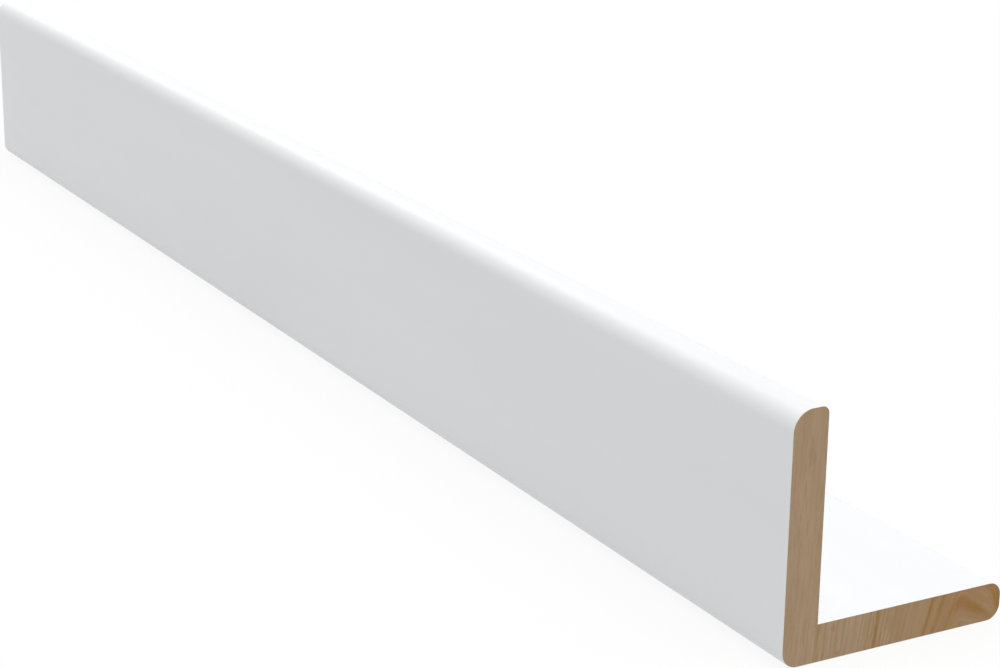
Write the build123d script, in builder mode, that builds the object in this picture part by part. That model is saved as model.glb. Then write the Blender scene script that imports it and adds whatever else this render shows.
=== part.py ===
# Corner moulding: one piece of pine, planed to an L section and painted white.
# It covers the outside corner of a wall, whose two faces lie against its inner faces.
#
# Millimetres. +X runs along the piece, +Y across its flat leg and +Z up its upright leg.
# The origin is the middle of the underside, halfway along the piece and across the flat leg.

import os

from build123d import *

# The piece and its two legs
LENGTH = 400.0
UPRIGHT_HEIGHT = 46.0
FLAT_WIDTH = 46.3
THICKNESS = 7.0

# The roundings of the section: its heel, and the outer and inner edge of each leg's tip
HEEL_RADIUS = 3.1
UPRIGHT_TIP_OUTER_RADIUS = 3.9
UPRIGHT_TIP_INNER_RADIUS = 1.4
FLAT_TIP_OUTER_RADIUS = 2.7
FLAT_TIP_INNER_RADIUS = 2.5

# A tip's two roundings fit side by side in this share of the thickness
TIP_SHARE = 0.95


def fitted(outer_radius, inner_radius):
    """The two roundings of a tip, both a little smaller where the thickness lacks the room."""
    shrink = min(1, TIP_SHARE * THICKNESS / (outer_radius + inner_radius))
    return outer_radius * shrink, inner_radius * shrink


upright_tip_outer_radius, upright_tip_inner_radius = fitted(
    UPRIGHT_TIP_OUTER_RADIUS, UPRIGHT_TIP_INNER_RADIUS
)
flat_tip_outer_radius, flat_tip_inner_radius = fitted(FLAT_TIP_OUTER_RADIUS, FLAT_TIP_INNER_RADIUS)

# The section's corners before they are rounded, as (Y, Z)
outer_face_y = -FLAT_WIDTH / 2
inner_face_y = outer_face_y + THICKNESS
flat_tip_y = outer_face_y + FLAT_WIDTH

heel = (outer_face_y, 0)
flat_tip_outer = (flat_tip_y, 0)
flat_tip_inner = (flat_tip_y, THICKNESS)
inner_corner = (inner_face_y, THICKNESS)
upright_tip_inner = (inner_face_y, UPRIGHT_HEIGHT)
upright_tip_outer = (outer_face_y, UPRIGHT_HEIGHT)

roundings = {
    heel: HEEL_RADIUS,
    flat_tip_outer: flat_tip_outer_radius,
    flat_tip_inner: flat_tip_inner_radius,
    upright_tip_inner: upright_tip_inner_radius,
    upright_tip_outer: upright_tip_outer_radius,
}

with BuildPart() as corner_moulding:
    with BuildSketch(Plane.YZ) as section:
        with BuildLine():
            Polyline(
                heel,
                flat_tip_outer,
                flat_tip_inner,
                inner_corner,
                upright_tip_inner,
                upright_tip_outer,
                close=True,
            )
        make_face()
        for place, radius in roundings.items():
            fillet(section.vertices().sort_by_distance(place)[0], radius)
    extrude(amount=LENGTH / 2, both=True)

corner_moulding.part.label = "corner_moulding"

os.makedirs("parts", exist_ok=True)
export_step(corner_moulding.part, "parts/corner_moulding.step")
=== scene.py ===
# Looks of the corner moulding: one length of pine, painted white, with both ends sawn bare.
# Sizes of the section are in millimetres until they become a mesh; the rest is in metres.

import math

import bpy
import numpy as np
from mathutils import Matrix, Vector


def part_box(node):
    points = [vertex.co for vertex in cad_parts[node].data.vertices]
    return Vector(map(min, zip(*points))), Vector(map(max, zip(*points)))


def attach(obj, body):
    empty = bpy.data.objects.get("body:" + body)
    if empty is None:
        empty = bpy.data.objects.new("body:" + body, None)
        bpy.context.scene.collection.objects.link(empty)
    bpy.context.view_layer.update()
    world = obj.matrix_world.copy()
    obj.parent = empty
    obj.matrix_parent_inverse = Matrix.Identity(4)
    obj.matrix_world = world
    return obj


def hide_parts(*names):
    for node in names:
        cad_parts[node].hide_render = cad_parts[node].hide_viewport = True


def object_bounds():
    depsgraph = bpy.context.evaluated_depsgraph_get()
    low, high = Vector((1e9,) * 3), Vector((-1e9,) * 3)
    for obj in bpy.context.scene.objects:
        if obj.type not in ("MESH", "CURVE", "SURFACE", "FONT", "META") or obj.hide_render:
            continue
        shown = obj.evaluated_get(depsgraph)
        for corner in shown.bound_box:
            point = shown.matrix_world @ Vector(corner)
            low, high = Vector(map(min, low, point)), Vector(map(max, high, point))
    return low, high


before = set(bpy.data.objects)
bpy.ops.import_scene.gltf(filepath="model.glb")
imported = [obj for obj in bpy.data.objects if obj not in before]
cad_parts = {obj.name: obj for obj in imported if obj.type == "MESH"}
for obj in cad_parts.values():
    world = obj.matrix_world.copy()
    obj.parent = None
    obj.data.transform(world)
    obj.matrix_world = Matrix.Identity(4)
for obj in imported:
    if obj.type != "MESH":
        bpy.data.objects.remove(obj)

cad_low, cad_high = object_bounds()

NODE = "corner_moulding"
MM = 0.001

# The section, as in the part: (y, z) from the heel's sharp corner
node_low, node_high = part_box(NODE)
LENGTH, WIDTH, HEIGHT = ((node_high[i] - node_low[i]) / MM for i in range(3))
HALF = LENGTH / 2
THICKNESS = 7.0
HEEL_RADIUS = 3.1
# The outer and inner rounding of each leg's tip
UPRIGHT_TIP = 3.9, 1.4
FLAT_TIP = 2.7, 2.5

# The paint's edge at a cut: the distance back from the cut and the inset from the outer
# surface of each of its rings. Inside them the bare wood starts, a little sunk.
PAINT_EDGE = [(0.1, 0.0), (0.04, 0.005), (0.012, 0.012), (0.0, 0.02)]
WOOD_INSET = 0.03
WOOD_SUNK = 0.012
# The paint's edge wanders by about this much, with a knot for every few of its points, and
# stays within a share of the wood's inset
EDGE_WANDER = 0.003
WANDER_EVERY = 9
LEAST_KNOTS = 4
WANDER_LIMIT = 0.8

# The growth rings' relief on a sawn face: its depth, the least share of it, how uneven it
# is, its share at the face's edge, and the place within a year that stands proudest
RELIEF = 0.03
RELIEF_LEAST = 0.35
RELIEF_UNEVEN = 0.85, 1.15
RELIEF_AT_EDGE = 0.3
PROUDEST = 0.55
# The relief at the far end lies this much further across the rings
FAR_END_SHIFT = 0.4

# The mesh: the spacing on the straight stretches of a sawn face, the steps round the heel
# and the tips and across the flat leg, and the stations along the length
GRID = 0.2
HEEL_STEPS = 14
TIP_STEPS = 20
ACROSS_STEPS = 34
STATIONS = 15
SEED = 7
# Points this close to a straight side are on it, and this close to a rounding's band in it
ON_SIDE = 1e-6
ROUND_SLACK = 0.01

# The map: its margin, the height that the long faces take, and the bars above it, one for
# each leg of each sawn face
MARGIN = 0.004
LONG_FACES_TOP = 0.5
BARS = 4

# The mesh's two materials, in their order
PAINTED, BARE = 0, 1

# The growth rings: nested arches with their tops above ARCH_Y, whose left flanks steepen
# towards the heel and whose right flanks run out at the flat leg's tip
ARCH_Y = WIDTH - 8.9
APEX_Z = 3.5
APEX_ROUND = 0.35
LEFT_SLOPE, LEFT_BEND = 1.36, 0.1275
RIGHT_SLOPE, RIGHT_BEND = 0.3, 0.04
RISE_FADE = 28.0
# Inside the innermost arch the measure across the rings stays level, at this root's floor
ROOT_FLOOR = 0.02
YEAR_MM = 1.2


def spaced(start, end, step=GRID):
    """Even places from start to end, about a step apart, both ends included."""
    return np.linspace(start, end, max(1, round(abs(end - start) / step)) + 1)


def quarter(steps):
    """The angles of a quarter turn, in even steps."""
    return np.linspace(0.0, math.pi / 2, steps + 1)


def arc_height(along, centre, radius):
    """The height of a round arc over its centre's level, at each place along it."""
    return np.sqrt(np.maximum(0, radius**2 - (along - centre) ** 2))


def leg_bounds(along, full, tip, with_heel):
    """Outer and inner distance across a leg at each place along it, at the wood's inset."""
    outer_radius, inner_radius = tip
    outer = np.full_like(along, WOOD_INSET)
    inner = np.full_like(along, THICKNESS - WOOD_INSET)
    if with_heel:
        heel = along < HEEL_RADIUS
        outer[heel] = HEEL_RADIUS - arc_height(along[heel], HEEL_RADIUS, HEEL_RADIUS - WOOD_INSET)
    centre = full - outer_radius
    end = along > centre
    outer[end] = outer_radius - arc_height(along[end], centre, outer_radius - WOOD_INSET)
    centre = full - inner_radius
    end = along > centre
    rise = arc_height(along[end], centre, inner_radius - WOOD_INSET)
    inner[end] = THICKNESS - inner_radius + rise
    return outer, inner


def grid_quads(ids):
    """The quads of a grid of point numbers."""
    corners = ids[:-1, :-1], ids[1:, :-1], ids[1:, 1:], ids[:-1, 1:]
    return np.stack(corners, 2).reshape(-1, 4)


def end_grid():
    """A sawn face: its points (y, z), each leg's quads, and its boundary in order round it."""
    corner = THICKNESS - WOOD_INSET
    heel = HEEL_RADIUS - (HEEL_RADIUS - WOOD_INSET) * np.cos(quarter(HEEL_STEPS))
    under = spaced(HEEL_RADIUS, corner)[1:]
    shared = len(heel) + len(under) - 1

    def to_tip(full, radius):
        """Places along a leg from the inner corner to its tip."""
        straight = spaced(corner, full - radius)[1:]
        tip = full - radius + (radius - WOOD_INSET) * np.sin(quarter(TIP_STEPS))
        return np.concatenate([straight, tip[1:]])

    # The flat leg, with the heel
    y = np.concatenate([heel, under, to_tip(WIDTH, FLAT_TIP[0])])
    low, high = leg_bounds(y, WIDTH, FLAT_TIP, with_heel=True)
    share = np.linspace(0, 1, ACROSS_STEPS + 1)
    flat_z = low[:, None] + (high - low)[:, None] * share
    flat = np.stack([np.repeat(y[:, None], len(share), 1), flat_z], 2)

    # The upright leg, from the flat leg's inner face up
    z = np.concatenate([[corner], to_tip(HEIGHT, UPRIGHT_TIP[0])])
    low, high = leg_bounds(z, HEIGHT, UPRIGHT_TIP, with_heel=False)
    share = (y[: shared + 1] - WOOD_INSET) / (corner - WOOD_INSET)
    upright_y = low[:, None] + (high - low)[:, None] * share
    upright = np.stack([upright_y, np.repeat(z[:, None], len(share), 1)], 2)

    points = np.concatenate([flat.reshape(-1, 2), upright[1:].reshape(-1, 2)])
    flat_id = np.arange(flat.shape[0] * flat.shape[1]).reshape(flat.shape[:2])
    above = np.arange(upright[1:].shape[0] * upright.shape[1]).reshape(-1, upright.shape[1])
    upright_id = np.concatenate([flat_id[: shared + 1, -1][None], above + flat_id.size])

    # Up the upright leg's inner face and down its outer one, then out along the underside
    # and back along the flat leg's inner face
    boundary = np.concatenate([
        upright_id[:, -1],
        upright_id[-1, -2::-1],
        upright_id[-2::-1, 0],
        flat_id[0, -2::-1],
        flat_id[1:, 0],
        flat_id[-1, 1:],
        flat_id[-2:shared:-1, -1],
    ])
    return points, (grid_quads(flat_id), grid_quads(upright_id.T)), boundary


def outward(points):
    """The way out of the section at points of the sawn face's boundary, one unit of inset long."""
    out = np.zeros_like(points)
    y, z = points[:, 0], points[:, 1]
    inset, corner = WOOD_INSET, THICKNESS - WOOD_INSET
    out[np.abs(y - inset) < ON_SIDE, 0] = -1
    out[np.abs(z - inset) < ON_SIDE, 1] = -1
    out[np.abs(y - (WIDTH - inset)) < ON_SIDE, 0] = 1
    out[np.abs(z - (HEIGHT - inset)) < ON_SIDE, 1] = 1
    out[(np.abs(y - corner) < ON_SIDE) & (z > corner - ON_SIDE), 0] = 1
    out[(np.abs(z - corner) < ON_SIDE) & (y > corner - ON_SIDE), 1] = 1

    # The roundings: each one's centre, its radius, and the way that it faces
    flat_outer, flat_inner = FLAT_TIP
    upright_outer, upright_inner = UPRIGHT_TIP
    for centre_y, centre_z, radius, side_y, side_z in (
        (HEEL_RADIUS, HEEL_RADIUS, HEEL_RADIUS, -1, -1),
        (WIDTH - flat_outer, flat_outer, flat_outer, 1, -1),
        (WIDTH - flat_inner, THICKNESS - flat_inner, flat_inner, 1, 1),
        (upright_outer, HEIGHT - upright_outer, upright_outer, -1, 1),
        (THICKNESS - upright_inner, HEIGHT - upright_inner, upright_inner, 1, 1),
    ):
        on = ((y - centre_y) * side_y > ON_SIDE) & ((z - centre_z) * side_z > ON_SIDE)
        reach = np.hypot(y - centre_y, z - centre_z)
        on &= (reach > radius - inset - ROUND_SLACK) & (reach < radius + ROUND_SLACK)
        away = points[on] - (centre_y, centre_z)
        out[on] = away / np.linalg.norm(away, axis=1)[:, None]
    return out


def ring_mm(y, z):
    """Where (y, z) of the section lies across the growth rings, in mm towards the heel."""
    rise = RISE_FADE * (1 - np.exp(-np.maximum(z, 0) / RISE_FADE))
    aside = y - ARCH_Y
    away = np.hypot(aside, APEX_ROUND)
    left = (away - aside) / 2
    right = (away + aside) / 2
    arch = rise + LEFT_SLOPE * left + LEFT_BEND * left**2 + RIGHT_SLOPE * right + RIGHT_BEND * right**2
    inside = np.maximum(LEFT_SLOPE**2 + 4 * LEFT_BEND * (arch - APEX_Z), ROOT_FLOOR)
    return (np.sqrt(inside) - LEFT_SLOPE) / (2 * LEFT_BEND)


def smooth_noise(rng, count, every, size):
    """Smooth closed random run of count numbers, with a knot for each `every` of them."""
    knots = rng.normal(0, size, max(LEAST_KNOTS, count // every))
    at = np.arange(count) / count * len(knots)
    i = at.astype(int)
    t = at - i
    t = t * t * (3 - 2 * t)
    return knots[i % len(knots)] * (1 - t) + knots[(i + 1) % len(knots)] * t


class Build:
    """The mesh's points and faces, with each face's place in the map and its material."""

    def __init__(self):
        self.points = np.empty((0, 3))
        self.faces, self.maps, self.materials = [], [], []

    def add_points(self, x, section):
        """Adds points of the section at x, and gives their numbers."""
        first = len(self.points)
        across = np.column_stack([np.broadcast_to(x, len(section)), section])
        self.points = np.concatenate([self.points, across])
        return np.arange(first, len(self.points))

    def add_faces(self, quads, places, material):
        """Adds quads with their places in the map and their material's number."""
        self.faces.append(quads)
        self.maps.append(places)
        self.materials.append(np.full(len(quads), material))


def add_cut(build, rng, side, grid, boundary, out):
    """The points of a sawn face, and of the paint's rings round it from the wood outwards."""
    rings = ring_mm(grid[:, 0], grid[:, 1]) + (0 if side > 0 else FAR_END_SHIFT)
    from_proudest = np.abs((rings / YEAR_MM) % 1 - PROUDEST) * 2
    relief = RELIEF * (RELIEF_LEAST + (1 - RELIEF_LEAST) * from_proudest)
    relief *= rng.uniform(*RELIEF_UNEVEN, len(grid))
    relief[boundary] *= RELIEF_AT_EDGE
    face = build.add_points(side * (HALF - WOOD_SUNK - relief), grid)

    paint = []
    for back, inset in reversed(PAINT_EDGE):
        wander = 0
        if inset > 0:
            wander = smooth_noise(rng, len(boundary), WANDER_EVERY, EDGE_WANDER)
        inset_here = np.clip(inset + wander, 0, WANDER_LIMIT * WOOD_INSET)
        outwards = out * np.reshape(WOOD_INSET - inset_here, (-1, 1))
        paint.append(build.add_points(side * (HALF - back), grid[boundary] + outwards))
    return face, paint


def add_long_faces(build, loops, surface):
    """The painted faces between loops of points, unrolled along the lower half of the map."""
    lengths = np.linalg.norm(np.roll(surface, -1, 0) - surface, axis=1)
    around = np.concatenate([[0], np.cumsum(lengths)])
    u = MARGIN + (1 - 2 * MARGIN) * (build.points[:, 0] + HALF) / LENGTH
    v = MARGIN + (LONG_FACES_TOP - 2 * MARGIN) * (1 - around / around[-1])
    v_here = np.stack([v[:-1], v[1:], v[1:], v[:-1]], 1)
    for here, ahead in zip(loops[:-1], loops[1:]):
        quads = np.stack([here, np.roll(here, -1), np.roll(ahead, -1), ahead], 1)
        build.add_faces(quads, np.stack([u[quads], v_here], 2), PAINTED)


def bar_places(points, bar, upright):
    """The map's places for points of a leg, in the leg's bar: along the leg, then across it."""
    y, z = points[..., 1], points[..., 2]
    along, across, full = (z, y, HEIGHT) if upright else (y, z, WIDTH)
    bar_height = (1 - LONG_FACES_TOP) / BARS
    low = LONG_FACES_TOP + bar * bar_height + MARGIN
    u = MARGIN + (1 - 2 * MARGIN) * along / full
    v = low + (bar_height - 2 * MARGIN) * across / THICKNESS
    return np.stack([u, v], -1)


def add_sawn_faces(build, side, face, paint_ring, legs, boundary, first_bar):
    """The bare wood of one cut, leg by leg, out to the paint's innermost ring."""
    edge = face[boundary]
    rim = np.stack([edge, np.roll(edge, -1), np.roll(paint_ring, -1), paint_ring], 1)
    edge_z = build.points[edge, 2]
    rim_in_upright = (edge_z + np.roll(edge_z, -1)) / 2 > THICKNESS - WOOD_INSET
    for upright, leg in enumerate(legs):
        # A step of side or of -side turns the quads, so that all of them face outwards
        rim_here = rim[rim_in_upright == bool(upright)]
        quads = np.concatenate([face[leg][:, ::side], rim_here[:, ::-side]])
        places = bar_places(build.points[quads], first_bar + upright, upright)
        build.add_faces(quads, places, BARE)


def mark_sharp(mesh, edges):
    """Marks edges, each a pair of point numbers, as sharp."""
    sharp = {tuple(sorted(edge)) for edge in edges}
    ends = np.empty(len(mesh.edges) * 2, np.int32)
    mesh.edges.foreach_get("vertices", ends)
    pairs = np.sort(ends.reshape(-1, 2), axis=1).tolist()
    marks = mesh.attributes.new("sharp_edge", "BOOLEAN", "EDGE")
    marks.data.foreach_set("value", np.array([tuple(pair) in sharp for pair in pairs]))


def moulding_mesh():
    """The dressed moulding: two sawn faces, the paint's edge round each, and the long faces."""
    rng = np.random.default_rng(SEED)
    grid, legs, boundary = end_grid()
    out = outward(grid[boundary])
    surface = grid[boundary] + out * WOOD_INSET

    build = Build()
    near_face, near_paint = add_cut(build, rng, 1, grid, boundary, out)
    far_face, far_paint = add_cut(build, rng, -1, grid, boundary, out)
    stations = np.linspace(-HALF, HALF, STATIONS + 2)[1:-1]
    between = [build.add_points(x, surface) for x in stations]
    loops = far_paint + between + near_paint[::-1]

    add_long_faces(build, loops, surface)
    add_sawn_faces(build, 1, near_face, near_paint[0], legs, boundary, 0)
    add_sawn_faces(build, -1, far_face, far_paint[0], legs, boundary, len(legs))

    points = build.points * MM
    points[:, 1:] += node_low[1:]
    faces = np.concatenate(build.faces)
    mesh = bpy.data.meshes.new(NODE + "_dressed")
    mesh.from_pydata(points.tolist(), [], faces.tolist())
    materials = np.concatenate(build.materials).astype(np.int32)
    mesh.polygons.foreach_set("material_index", materials)
    mesh.polygons.foreach_set("use_smooth", np.ones(len(faces), bool))
    places = np.concatenate(build.maps).reshape(-1).astype(np.float32)
    mesh.uv_layers.new(name="OFBake").uv.foreach_set("vector", places)
    rings = ring_mm(build.points[:, 1], build.points[:, 2]).astype(np.float32)
    mesh.attributes.new("rings", "FLOAT", "POINT").data.foreach_set("value", rings)
    mesh.update()

    # Sharp where the paint meets the wood, and along the inner corner
    sharp = []
    for face in (near_face, far_face):
        edge = face[boundary]
        sharp += zip(edge.tolist(), np.roll(edge, -1).tolist())
    corner = np.argmin(np.hypot(*(surface - THICKNESS).T))
    corner_line = [int(loop[corner]) for loop in loops]
    sharp += zip(corner_line[:-1], corner_line[1:])
    mark_sharp(mesh, sharp)
    return mesh


class Nodes:
    """Short ways to add nodes to a tree and link them."""

    def __init__(self, tree):
        self.tree = tree

    def put(self, socket, value):
        """Links a socket's value to the socket, or sets a plain one."""
        if isinstance(value, bpy.types.NodeSocket):
            self.tree.links.new(value, socket)
        elif value is not None:
            socket.default_value = value

    def node(self, kind, **settings):
        """A new node of a kind, with its settings."""
        made = self.tree.nodes.new("ShaderNode" + kind)
        for name, value in settings.items():
            setattr(made, name, value)
        return made

    def math(self, operation, a, b=None, c=None):
        """The result of one operation on up to three values."""
        made = self.node("Math", operation=operation)
        for socket, value in zip(made.inputs, (a, b, c)):
            self.put(socket, value)
        return made.outputs[0]

    def joined(self, operation, values):
        """Many values joined by one operation: their sum, their product or the largest."""
        result, *others = values
        for value in others:
            result = self.math(operation, result, value)
        return result

    def ease(self, value, low, high, to_low=0.0, to_high=1.0):
        """A smooth step from to_low at low to to_high at high."""
        made = self.node("MapRange", interpolation_type="SMOOTHSTEP")
        for name, given in (("Value", value), ("From Min", low), ("From Max", high),
                            ("To Min", to_low), ("To Max", to_high)):
            self.put(made.inputs[name], given)
        return made.outputs["Result"]

    def hump(self, value, rise, fall):
        """1 between two spans of a value: it rises over the first and falls over the second."""
        return self.math("MULTIPLY", self.ease(value, *rise), self.ease(value, *fall, 1.0, 0.0))

    def noise(self, at, scale, detail=2.0, rough=0.5, dimensions="3D"):
        """Noise of about 0 to 1 at a place, or along one value."""
        made = self.node("TexNoise", noise_dimensions=dimensions)
        self.put(made.inputs["W" if dimensions == "1D" else "Vector"], at)
        made.inputs["Scale"].default_value = scale
        made.inputs["Detail"].default_value = detail
        made.inputs["Roughness"].default_value = rough
        return made.outputs["Fac"]

    def long_noise(self, at, scales, detail=3.0):
        """Noise with a scale of its own along each axis."""
        made = self.node("Mapping")
        self.put(made.inputs["Vector"], at)
        made.inputs["Scale"].default_value = scales
        return self.noise(made.outputs["Vector"], 1.0, detail)

    def swing(self, at, scale, reach):
        """Noise from about -reach to reach."""
        return self.math("MULTIPLY_ADD", self.noise(at, scale), 2 * reach, -reach)

    def mix(self, share, a, b):
        """Colour a with a share of colour b."""
        made = self.node("Mix", data_type="RGBA")
        self.put(made.inputs["Factor"], share)
        self.put(made.inputs["A"], a)
        self.put(made.inputs["B"], b)
        return made.outputs["Result"]

    def away(self, y, z, place):
        """Distance in the section from a place in it."""
        offset = self.node("CombineXYZ")
        self.put(offset.inputs["X"], self.math("SUBTRACT", y, place[0]))
        self.put(offset.inputs["Y"], self.math("SUBTRACT", z, place[1]))
        length = self.node("VectorMath", operation="LENGTH")
        self.put(length.inputs[0], offset.outputs[0])
        return length.outputs["Value"]

    def bump(self, height, distance, strength, under=None):
        """A surface raised by the height over distance, on top of another bump."""
        made = self.node("Bump")
        self.put(made.inputs["Height"], height)
        made.inputs["Distance"].default_value = distance
        made.inputs["Strength"].default_value = strength
        self.put(made.inputs["Normal"], under)
        return made.outputs["Normal"]

    def plain(self, kind, grey):
        """A shader of one grey."""
        made = self.node(kind)
        made.inputs["Color"].default_value = (grey, grey, grey, 1.0)
        return made.outputs[0]

    def both(self, share, first, second):
        """Two shaders, mixed by the share of the second."""
        made = self.node("MixShader")
        for socket, value in zip(made.inputs, (share, first, second)):
            self.put(socket, value)
        return made.outputs[0]

    def seen(self):
        """1 for rays that show a background: from the camera, by gloss and through glass."""
        path = self.node("LightPath").outputs
        kinds = "Is Camera Ray", "Is Glossy Ray", "Is Transmission Ray"
        return self.joined("MAXIMUM", [path[kind] for kind in kinds])


def new_material(name):
    """A new material, its nodes and its main shader."""
    material = bpy.data.materials.new(name)
    material.use_nodes = True
    n = Nodes(material.node_tree)
    return material, n, n.tree.nodes["Principled BSDF"]


def linear(*srgb):
    """An sRGB colour of 0 to 255 as linear values, with full cover."""
    c = np.array(srgb) / 255
    return tuple(np.where(c <= 0.04045, c / 12.92, ((c + 0.055) / 1.055) ** 2.4)) + (1.0,)


# Noise passes from low to high over about this span
NOISE_SPAN = 0.3, 0.7
SPECULAR = 0.3

# The paint: its colour and roughness drift in long clouds. The scales of noise are along
# the piece and across it.
PAINT_DULL = linear(237, 238.5, 239.5)
PAINT_CLEAR = linear(239, 240.5, 241.5)
PAINT_ROUGHNESS = 0.4, 0.46
COLOUR_CLOUDS = 6.0, 60.0, 60.0
GLOSS_CLOUDS = 25.0, 300.0, 300.0
# The planed wood shows through it: a ridge for each year, whose place drifts by some
# millimetres, its fibres, and the paint's own grit. A bump is its height and its strength.
RIDGE_DRIFT = 12.0, 30.0, 30.0
RIDGE_DRIFT_MM = 2.2
RIDGE_RISE, RIDGE_FALL = (0.3, 0.85), (0.9, 1.0)
RIDGE_BUMP = 0.000006, 0.6
FIBRES = 120.0, 2500.0, 2500.0
FIBRE_BUMP = 0.000012, 0.5
PAINT_GRIT = 1400.0
PAINT_GRIT_BUMP = 0.000008, 0.5


def paint_material():
    """White satin paint, with the wood's grain just showing in its surface."""
    material, n, shader = new_material("white_satin_paint")
    at = n.node("TexCoord").outputs["Object"]
    rings = n.node("Attribute", attribute_name="rings").outputs["Fac"]

    tint = n.ease(n.long_noise(at, COLOUR_CLOUDS), *NOISE_SPAN)
    n.put(shader.inputs["Base Color"], n.mix(tint, PAINT_DULL, PAINT_CLEAR))
    roughness = n.ease(n.long_noise(at, GLOSS_CLOUDS), *NOISE_SPAN, *PAINT_ROUGHNESS)
    n.put(shader.inputs["Roughness"], roughness)
    shader.inputs["Specular IOR Level"].default_value = SPECULAR

    drift = n.math("MULTIPLY", n.long_noise(at, RIDGE_DRIFT, detail=2.0), RIDGE_DRIFT_MM)
    year = n.math("FRACT", n.math("DIVIDE", n.math("ADD", rings, drift), YEAR_MM))
    ridges = n.bump(n.hump(year, RIDGE_RISE, RIDGE_FALL), *RIDGE_BUMP)
    fibres = n.bump(n.long_noise(at, FIBRES), *FIBRE_BUMP, ridges)
    grit = n.bump(n.noise(at, PAINT_GRIT), *PAINT_GRIT_BUMP, fibres)
    n.put(shader.inputs["Normal"], grit)
    return material


# The wood's colours: pale early and deep late wood, both also warmer, and the rest
PALE, PALE_WARM = linear(174, 148.5, 117.5), linear(167, 133, 94)
DEEP, DEEP_WARM = linear(156, 130, 97), linear(157, 121, 80)
LIGHT = linear(187, 161, 131)
DARK_RING, RED_RING = linear(152, 113, 54), linear(160, 110, 64)
FLECK = linear(166, 108, 82)
PORE = linear(134, 107, 79)
WOOD_ROUGHNESS = 0.78

# The rings' course wavers: (scale of the noise, reach in mm)
SWAY = 330.0, 0.35
FUZZ = 1700.0, 0.1

# A change over the section is written as the axis, where it starts and ends in mm, and the
# share before and after it. Over this stretch of z, the flat leg's looks change into the
# upright leg's.
INTO_UPRIGHT = 6.0, 11.0

# Every year's ring: the spread of the years' widths as (scale, mm), the part of a year over
# which it darkens to late wood and ends, and its patches as (stretch along the ring, scale).
# The years show most in the flat leg's first half, less in the heel and the upright leg.
YEAR_SPREAD = 0.35, 2.0
LATE_RISE, LATE_FALL = (0.3, 0.8), (0.86, 1.0)
YEAR_PATCHES = 8.0, 0.7
YEAR_PATCH_SHARES = 0.3, 0.65, 0.5, 1.0
YEARS_SHOW = [
    ("y", 17.0, 30.0, 1.0, 0.3),
    ("z", *INTO_UPRIGHT, 1.0, 0.3),
    ("y", 3.0, 8.0, 0.4, 1.0),
]

# Short streaks of late and early wood that stop and start along the rings, as (stretch,
# scale), and the noise over which each kind comes up. The bright ones are faint in the heel.
STREAKS = 12.0, 2.4
DIM_STREAKS = 0.54, 0.72
BRIGHT_STREAKS = 0.46, 0.3
DIM_SHOWS = [("z", *INTO_UPRIGHT, 0.4, 0.72)]
BRIGHT_SHOWS = [("y", 19.0, 30.0, 0.7, 0.2), ("z", *INTO_UPRIGHT, 1.0, 0.25)]
PAST_HEEL = [("y", 2.2, 4.4, 0.4, 1.0)]
IN_UPRIGHT = [("z", *INTO_UPRIGHT, 0.0, 1.0)]

# Darker rings of the sawn ends: where each lies across the rings, the widths in mm over
# which it comes and goes, and its strength. They are patchy along their length.
DARK_RINGS = [
    (-1.9, 0.5, 0.3, 0.5),
    (4.6, 0.8, 0.6, 0.8),
    (6.8, 0.75, 0.55, 1.0),
    (10.1, 0.4, 0.3, 0.2),
    (12.1, 0.5, 0.3, 0.2),
    (16.7, 0.5, 0.4, 0.35),
    (18.1, 0.8, 0.6, 1.0),
    (19.7, 0.6, 0.4, 0.5),
    (26.5, 0.5, 0.3, 0.25),
    (29.0, 0.4, 0.3, 0.3),
    (30.5, 0.55, 0.35, 0.6),
]
DARK_PATCHES = 300.0
DARK_PATCH_SHARES = 0.35, 0.6, 0.55, 1.0
DARK_SHOWS = [("y", ARCH_Y + 0.6, ARCH_Y + 2.0, 1.0, 0.0)]

# The broad ring of the arch's top and right flank, and the narrow one of its left flank.
# The broad one lies this much further out on its left side, over a stretch of y.
ARCH_RING = 0.85, 1.9, 0.65, 1.0
ARCH_ARM = 1.65, 0.7, 0.5, 0.75
ARCH_LEAN = ARCH_Y - 0.6, ARCH_Y + 2.4, 0.3, 0.0
ARCH_SHOWS = [("y", ARCH_Y - 1.6, ARCH_Y - 0.3, 0.0, 1.0), ("z", 0.4, 2.6, 0.25, 1.0)]
ARM_SHOWS = [("y", ARCH_Y - 1.4, ARCH_Y - 0.2, 1.0, 0.0)]
ARCH_PATCHES = 420.0
ARCH_PATCH_SHARES = 0.3, 0.6, 0.75, 1.0

# The dark ring at the flat leg's tip follows an arc about this place. It starts at this
# radius and comes up over this width.
TIP_RING_AT = WIDTH - 7.1, 1.7
TIP_RING_RADIUS = 5.8
TIP_RING_COMES = 0.6
TIP_RING_SHOWS = [
    ("z", 1.2, 2.4, 0.0, 1.0),
    ("z", 4.2, 6.4, 0.88, 0.5),
    ("y", TIP_RING_AT[0] + 3.0, TIP_RING_AT[0] + 4.2, 0.0, 1.0),
]

# Dark rings are reddish about a place at the arch's top, fading over this reach, and at the
# top of the flat leg's tip
RED_AT = ARCH_Y + 0.4, 4.3
RED_REACH = 0.6, 2.1
RED_TIP = [("z", 4.6, 6.4, 0.0, 1.0), ("y", ARCH_Y + 4.6, ARCH_Y + 5.6, 0.0, 1.0)]
# Small reddish flecks, as (y, z), how far each reaches, and its strength
FLECKS = [(10.3, 5.5), (11.4, 0.8), (ARCH_Y + 0.3, 0.5)]
FLECK_REACH = 0.1, 0.8
FLECK_STRENGTH = 0.5

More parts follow.
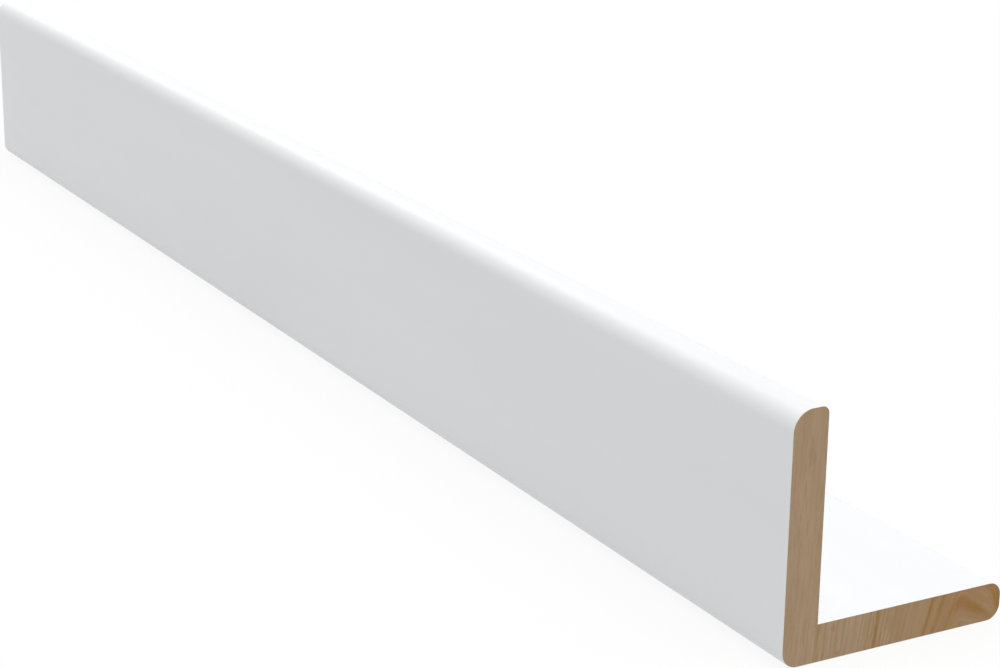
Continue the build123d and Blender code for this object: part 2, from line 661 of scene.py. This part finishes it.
# The wood is warmer towards the arch and the flat leg's tip, over these spans across the
# rings. It has blotches of its deep colour, as (stretch, scale), and one paler stretch.
WARM_PAST_MIDDLE = 13.0, 20.0, 0.5, 0.0
WARM_NEAR_ARCH = 2.0, 10.0, 0.5, 0.0
WARM_INSIDE_ARCH = -1.8, -0.2, 0.4, 1.0
BLOTCHES = 5.0, 0.45
BLOTCH_MOST = 0.35
PALER_STRETCH = [("y", 8.0, 12.0, 0.0, 0.18), ("y", 17.0, 19.5, 1.0, 0.0)]

# Cut fibres: a fine grit of darker pores, as (scale, detail, roughness)
WOOD_GRIT = 5200.0, 2.0, 0.6
PORE_SHARES = 0.35, 0.75, 0.0, 0.2
WOOD_BUMP = 0.00003, 0.7


def wood_material():
    """Bare sawn end grain of pine."""
    material, n, shader = new_material("bare_pine_end_grain")
    at = n.node("TexCoord").outputs["Object"]
    rings = n.node("Attribute", attribute_name="rings").outputs["Fac"]
    axes = n.node("SeparateXYZ")
    n.put(axes.inputs[0], at)
    y = n.math("MULTIPLY_ADD", axes.outputs["Y"], 1 / MM, -node_low[1] / MM)
    z = n.math("MULTIPLY", axes.outputs["Z"], 1 / MM)
    sway = n.swing(at, *SWAY)
    r = n.joined("ADD", [rings, sway, n.swing(at, *FUZZ)])

    def along(stretch):
        """Places for noise that runs along the rings, this much finer across them."""
        join = n.node("CombineXYZ")
        n.put(join.inputs["X"], r)
        n.put(join.inputs["Y"], n.math("DIVIDE", y, stretch))
        n.put(join.inputs["Z"], n.math("DIVIDE", z, stretch))
        return join.outputs[0]

    def shown(value, changes):
        """A value times the share that each of the changes over the section gives it."""
        ways = {"y": y, "z": z}
        shares = [n.ease(ways[axis], *change) for axis, *change in changes]
        return n.joined("MULTIPLY", [value, *shares])

    def pulse(across, centre, comes, goes, strength):
        """One ring, sharper on the side of the bark."""
        inner = n.ease(across, centre - comes, centre, 0.0, strength)
        return n.math("MULTIPLY", inner, n.ease(across, centre, centre + goes, 1.0, 0.0))

    def patchy(value, scale, shares):
        """A value that is weaker in places."""
        return n.math("MULTIPLY", value, n.ease(n.noise(at, scale), *shares))

    # The years, and the short streaks between them
    spread_scale, spread_mm = YEAR_SPREAD
    spread = n.math("MULTIPLY", n.noise(r, spread_scale, detail=1.0, dimensions="1D"), spread_mm)
    year = n.math("FRACT", n.math("DIVIDE", n.math("ADD", r, spread), YEAR_MM))
    patch_stretch, patch_scale = YEAR_PATCHES
    weight = n.ease(n.noise(along(patch_stretch), patch_scale, detail=1.0), *YEAR_PATCH_SHARES)
    late = n.math("MULTIPLY", n.hump(year, LATE_RISE, LATE_FALL), shown(weight, YEARS_SHOW))
    streak_stretch, streak_scale = STREAKS
    streaks = n.noise(along(streak_stretch), streak_scale)
    late = n.math("MAXIMUM", late, shown(n.ease(streaks, *DIM_STREAKS), DIM_SHOWS))
    bright = shown(n.ease(streaks, *BRIGHT_STREAKS), BRIGHT_SHOWS)
    past_heel = n.math("MAXIMUM", shown(1.0, PAST_HEEL), shown(1.0, IN_UPRIGHT))
    bright = n.math("MULTIPLY", bright, past_heel)

    # The darker rings, with the arch and the tip's ring
    dark = n.joined("MAXIMUM", [pulse(r, *ring) for ring in DARK_RINGS])
    dark = shown(patchy(dark, DARK_PATCHES, DARK_PATCH_SHARES), DARK_SHOWS)
    leaning = n.math("SUBTRACT", r, n.ease(y, *ARCH_LEAN))
    arch = shown(pulse(leaning, *ARCH_RING), ARCH_SHOWS)
    arm = shown(pulse(r, *ARCH_ARM), ARM_SHOWS)
    arch = patchy(n.math("MAXIMUM", arch, arm), ARCH_PATCHES, ARCH_PATCH_SHARES)
    reach = n.math("ADD", n.away(y, z, TIP_RING_AT), sway)
    tip = n.ease(reach, TIP_RING_RADIUS, TIP_RING_RADIUS + TIP_RING_COMES)
    dark = n.joined("MAXIMUM", [dark, arch, shown(tip, TIP_RING_SHOWS)])

    # The colours, from the ground up
    warm = n.math("ADD", n.ease(r, *WARM_PAST_MIDDLE), n.ease(r, *WARM_NEAR_ARCH))
    warm = n.math("MULTIPLY", warm, n.ease(r, *WARM_INSIDE_ARCH))
    deep = n.mix(warm, DEEP, DEEP_WARM)
    colour = n.mix(late, n.mix(warm, PALE, PALE_WARM), deep)
    blotch_stretch, blotch_scale = BLOTCHES
    blotches = n.noise(along(blotch_stretch), blotch_scale, detail=3.0)
    colour = n.mix(n.ease(blotches, *NOISE_SPAN, 0.0, BLOTCH_MOST), colour, deep)
    colour = n.mix(bright, colour, LIGHT)
    colour = n.mix(shown(1.0, PALER_STRETCH), colour, LIGHT)
    red = n.ease(n.away(y, z, RED_AT), *RED_REACH, 1.0, 0.0)
    red = n.math("MAXIMUM", red, shown(1.0, RED_TIP))
    colour = n.mix(dark, colour, n.mix(red, DARK_RING, RED_RING))
    for place in FLECKS:
        near = n.ease(n.away(y, z, place), *FLECK_REACH, FLECK_STRENGTH, 0.0)
        colour = n.mix(near, colour, FLECK)
    grit = n.noise(at, *WOOD_GRIT)
    colour = n.mix(n.ease(grit, *PORE_SHARES), colour, PORE)
    n.put(shader.inputs["Base Color"], colour)
    shader.inputs["Roughness"].default_value = WOOD_ROUGHNESS
    shader.inputs["Specular IOR Level"].default_value = SPECULAR

    n.put(shader.inputs["Normal"], n.bump(n.math("ADD", grit, late), *WOOD_BUMP))
    return material


# The light, in shares of white: the sky's, and each soft lamp's with the way that it comes
# from and its width in degrees. The sheen comes from beyond the far end and brightens the
# rounded top.
SKY = 0.704
KEY, KEY_FROM, KEY_ANGLE = 0.364, Vector((0.36, 0.15, 1.0)).normalized(), 50
SHEEN, SHEEN_FROM, SHEEN_ANGLE = 0.135, Vector((-0.83, 0.03, 0.55)).normalized(), 24
OPEN_LIGHT = SKY + KEY * KEY_FROM.z + SHEEN * SHEEN_FROM.z

# The floor: the share of its shadow that shows, the share of it that glows like a light
# table, half its width, and its gap below the piece
SHADOW_SHARE = 0.13
FLOOR_GLOW = 0.65
FLOOR_HALF = 6.0
FLOOR_GAP = 0.0002


def floor_material():
    """A pale floor that shows as white and keeps a soft part of the object's shadow."""
    material, n, shader = new_material("pale_floor")
    n.tree.nodes.remove(shader)
    unseen = n.both(FLOOR_GLOW, n.plain("BsdfDiffuse", SKY / OPEN_LIGHT), n.plain("Emission", SKY))
    lit = n.plain("BsdfDiffuse", 1 / OPEN_LIGHT)
    white = n.both(1 - SHADOW_SHARE, lit, n.plain("Emission", 1.0))
    surface = n.tree.nodes["Material Output"].inputs["Surface"]
    n.put(surface, n.both(n.seen(), unseen, white))
    return material


def floor_mesh():
    """A wide level square."""
    corners = [(-1, -1), (1, -1), (1, 1), (-1, 1)]
    mesh = bpy.data.meshes.new("floor")
    mesh.from_pydata([(x * FLOOR_HALF, y * FLOOR_HALF, 0) for x, y in corners], [], [(0, 1, 2, 3)])
    mesh.materials.append(floor_material())
    return mesh


def placed(name, data):
    """A new object in the scene."""
    made = bpy.data.objects.new(name, data)
    bpy.context.scene.collection.objects.link(made)
    return made


def lamp(name, strength, comes_from, angle):
    """A soft far lamp, whose strength is that of a sky with the same number."""
    data = bpy.data.lights.new(name, "SUN")
    data.energy = strength * math.pi
    data.angle = math.radians(angle)
    made = placed(name, data)
    made.rotation_mode = "QUATERNION"
    made.rotation_quaternion = comes_from.to_track_quat("Z", "Y")


def studio_world():
    """A plain sky that lights at SKY and shows as white."""
    world = bpy.data.worlds.new("studio")
    world.use_nodes = True
    n = Nodes(world.node_tree)
    background = n.tree.nodes["Background"]
    background.inputs["Color"].default_value = (1.0, 1.0, 1.0, 1.0)
    n.put(background.inputs["Strength"], n.ease(n.seen(), 0.0, 1.0, SKY, 1.0))
    return world


# The piece
moulding = placed("corner_moulding_painted", moulding_mesh())
moulding.data.materials.append(paint_material())
moulding.data.materials.append(wood_material())
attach(moulding, "root")
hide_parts(NODE)

# The floor and the light
floor = placed("floor", floor_mesh())
floor.location.z = cad_low[2] - FLOOR_GAP
lamp("soft_key", KEY, KEY_FROM, KEY_ANGLE)
lamp("soft_sheen", SHEEN, SHEEN_FROM, SHEEN_ANGLE)
bpy.context.scene.world = studio_world()

# The camera stands before the outer face, well above the piece and near one end
CAMERA_AT = Vector((0.51324, -0.25399, 0.18373))
YAW, PITCH, ROLL = (math.radians(a) for a in (-60.669, 17.958, -0.732))
FOCAL_PIXELS, IMAGE_WIDTH, SENSOR = 2535.3, 1000, 36.0
CLIP = 0.01, 50.0


def camera_turn():
    """The camera's axes from its yaw, its pitch down and its roll."""
    ahead = math.sin(YAW) * math.cos(PITCH), math.cos(YAW) * math.cos(PITCH), -math.sin(PITCH)
    forward = Vector(ahead)
    level = Vector((math.cos(YAW), -math.sin(YAW), 0.0))
    down = forward.cross(level)
    right = level * math.cos(ROLL) + down * math.sin(ROLL)
    up = level * math.sin(ROLL) - down * math.cos(ROLL)
    return Matrix((right, up, -forward)).transposed()


camera_data = bpy.data.cameras.new("camera")
camera_data.sensor_width = SENSOR
camera_data.lens = FOCAL_PIXELS / IMAGE_WIDTH * SENSOR
camera_data.clip_start, camera_data.clip_end = CLIP
camera = placed("camera", camera_data)
camera.matrix_world = Matrix.Translation(CAMERA_AT) @ camera_turn().to_4x4()
bpy.context.scene.camera = camera

bpy.context.scene.view_settings.view_transform = "Standard"
